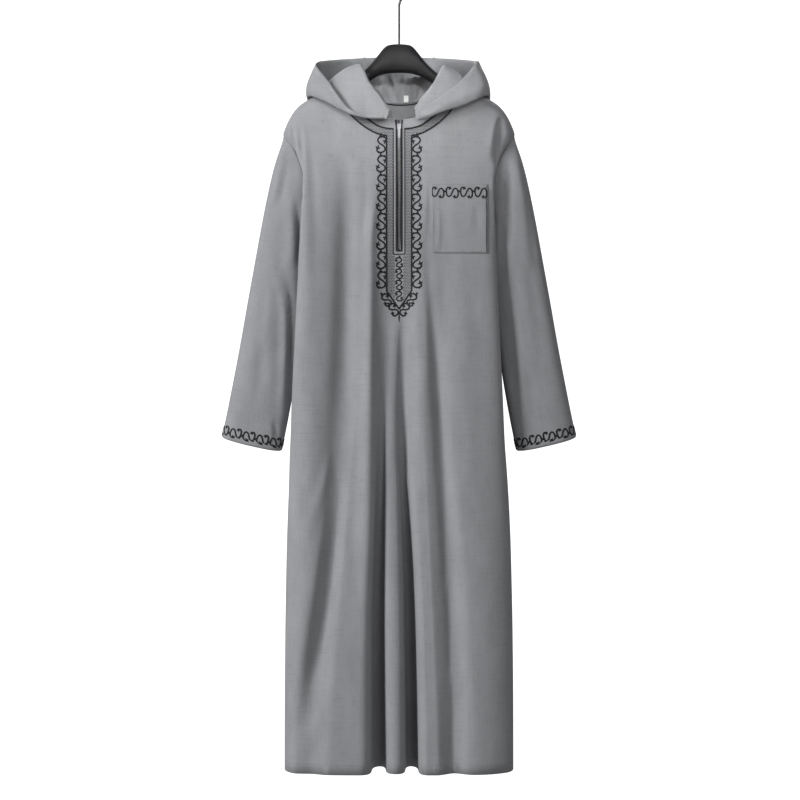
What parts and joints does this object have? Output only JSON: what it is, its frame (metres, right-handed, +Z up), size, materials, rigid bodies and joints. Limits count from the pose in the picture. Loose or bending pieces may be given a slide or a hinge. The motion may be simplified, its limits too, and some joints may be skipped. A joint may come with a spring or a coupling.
{
  "type": "hooded embroidered robe on a hanger",
  "caption": "Ankle-length grey hooded robe with long sleeves, a half-length front zip, a chest pocket and side gores, hanging on a broad black hanger.",
  "frame": {"origin": "inner top of the hanger's hook, where it bears on a rail", "axes": "+Z up along the hook's shank, -Y the way the robe's front faces, +X to the viewer's right of the front"},
  "size_m": [0.7316, 0.2441, 1.6298],
  "materials": {
    "cloth": "matt woven",
    "zip_tape": "matt woven",
    "zip_metal": "satin",
    "tab": "satin woven",
    "embroidery": "glossy rayon thread",
    "hanger_plastic": "satin",
    "hook_metal": "satin"
  },
  "bodies": {
    "garment": {"front": "cloth", "back": "cloth", "gore_left": "cloth", "gore_right": "cloth", "sleeve_left": "cloth", "sleeve_right": "cloth", "hood_left": "cloth", "hood_centre": "cloth", "hood_right": "cloth", "pocket": "cloth", "zip_tape_left": "zip_tape", "zip_tape_right": "zip_tape", "zip_slider": "zip_metal", "size_tab": "tab", "hanger_arms": "hanger_plastic", "hanger_hook": "hook_metal"},
    "pull_tab": {"zip_pull": "zip_metal"}
  },
  "joints": [
    {"name": "pull_tab_swing", "type": "hinge", "parent": "garment", "child": "pull_tab", "pos_m": [0, -0.05479, -0.319], "axis": [-1, 0, 0], "range_deg": [0, 150]}
  ]
}
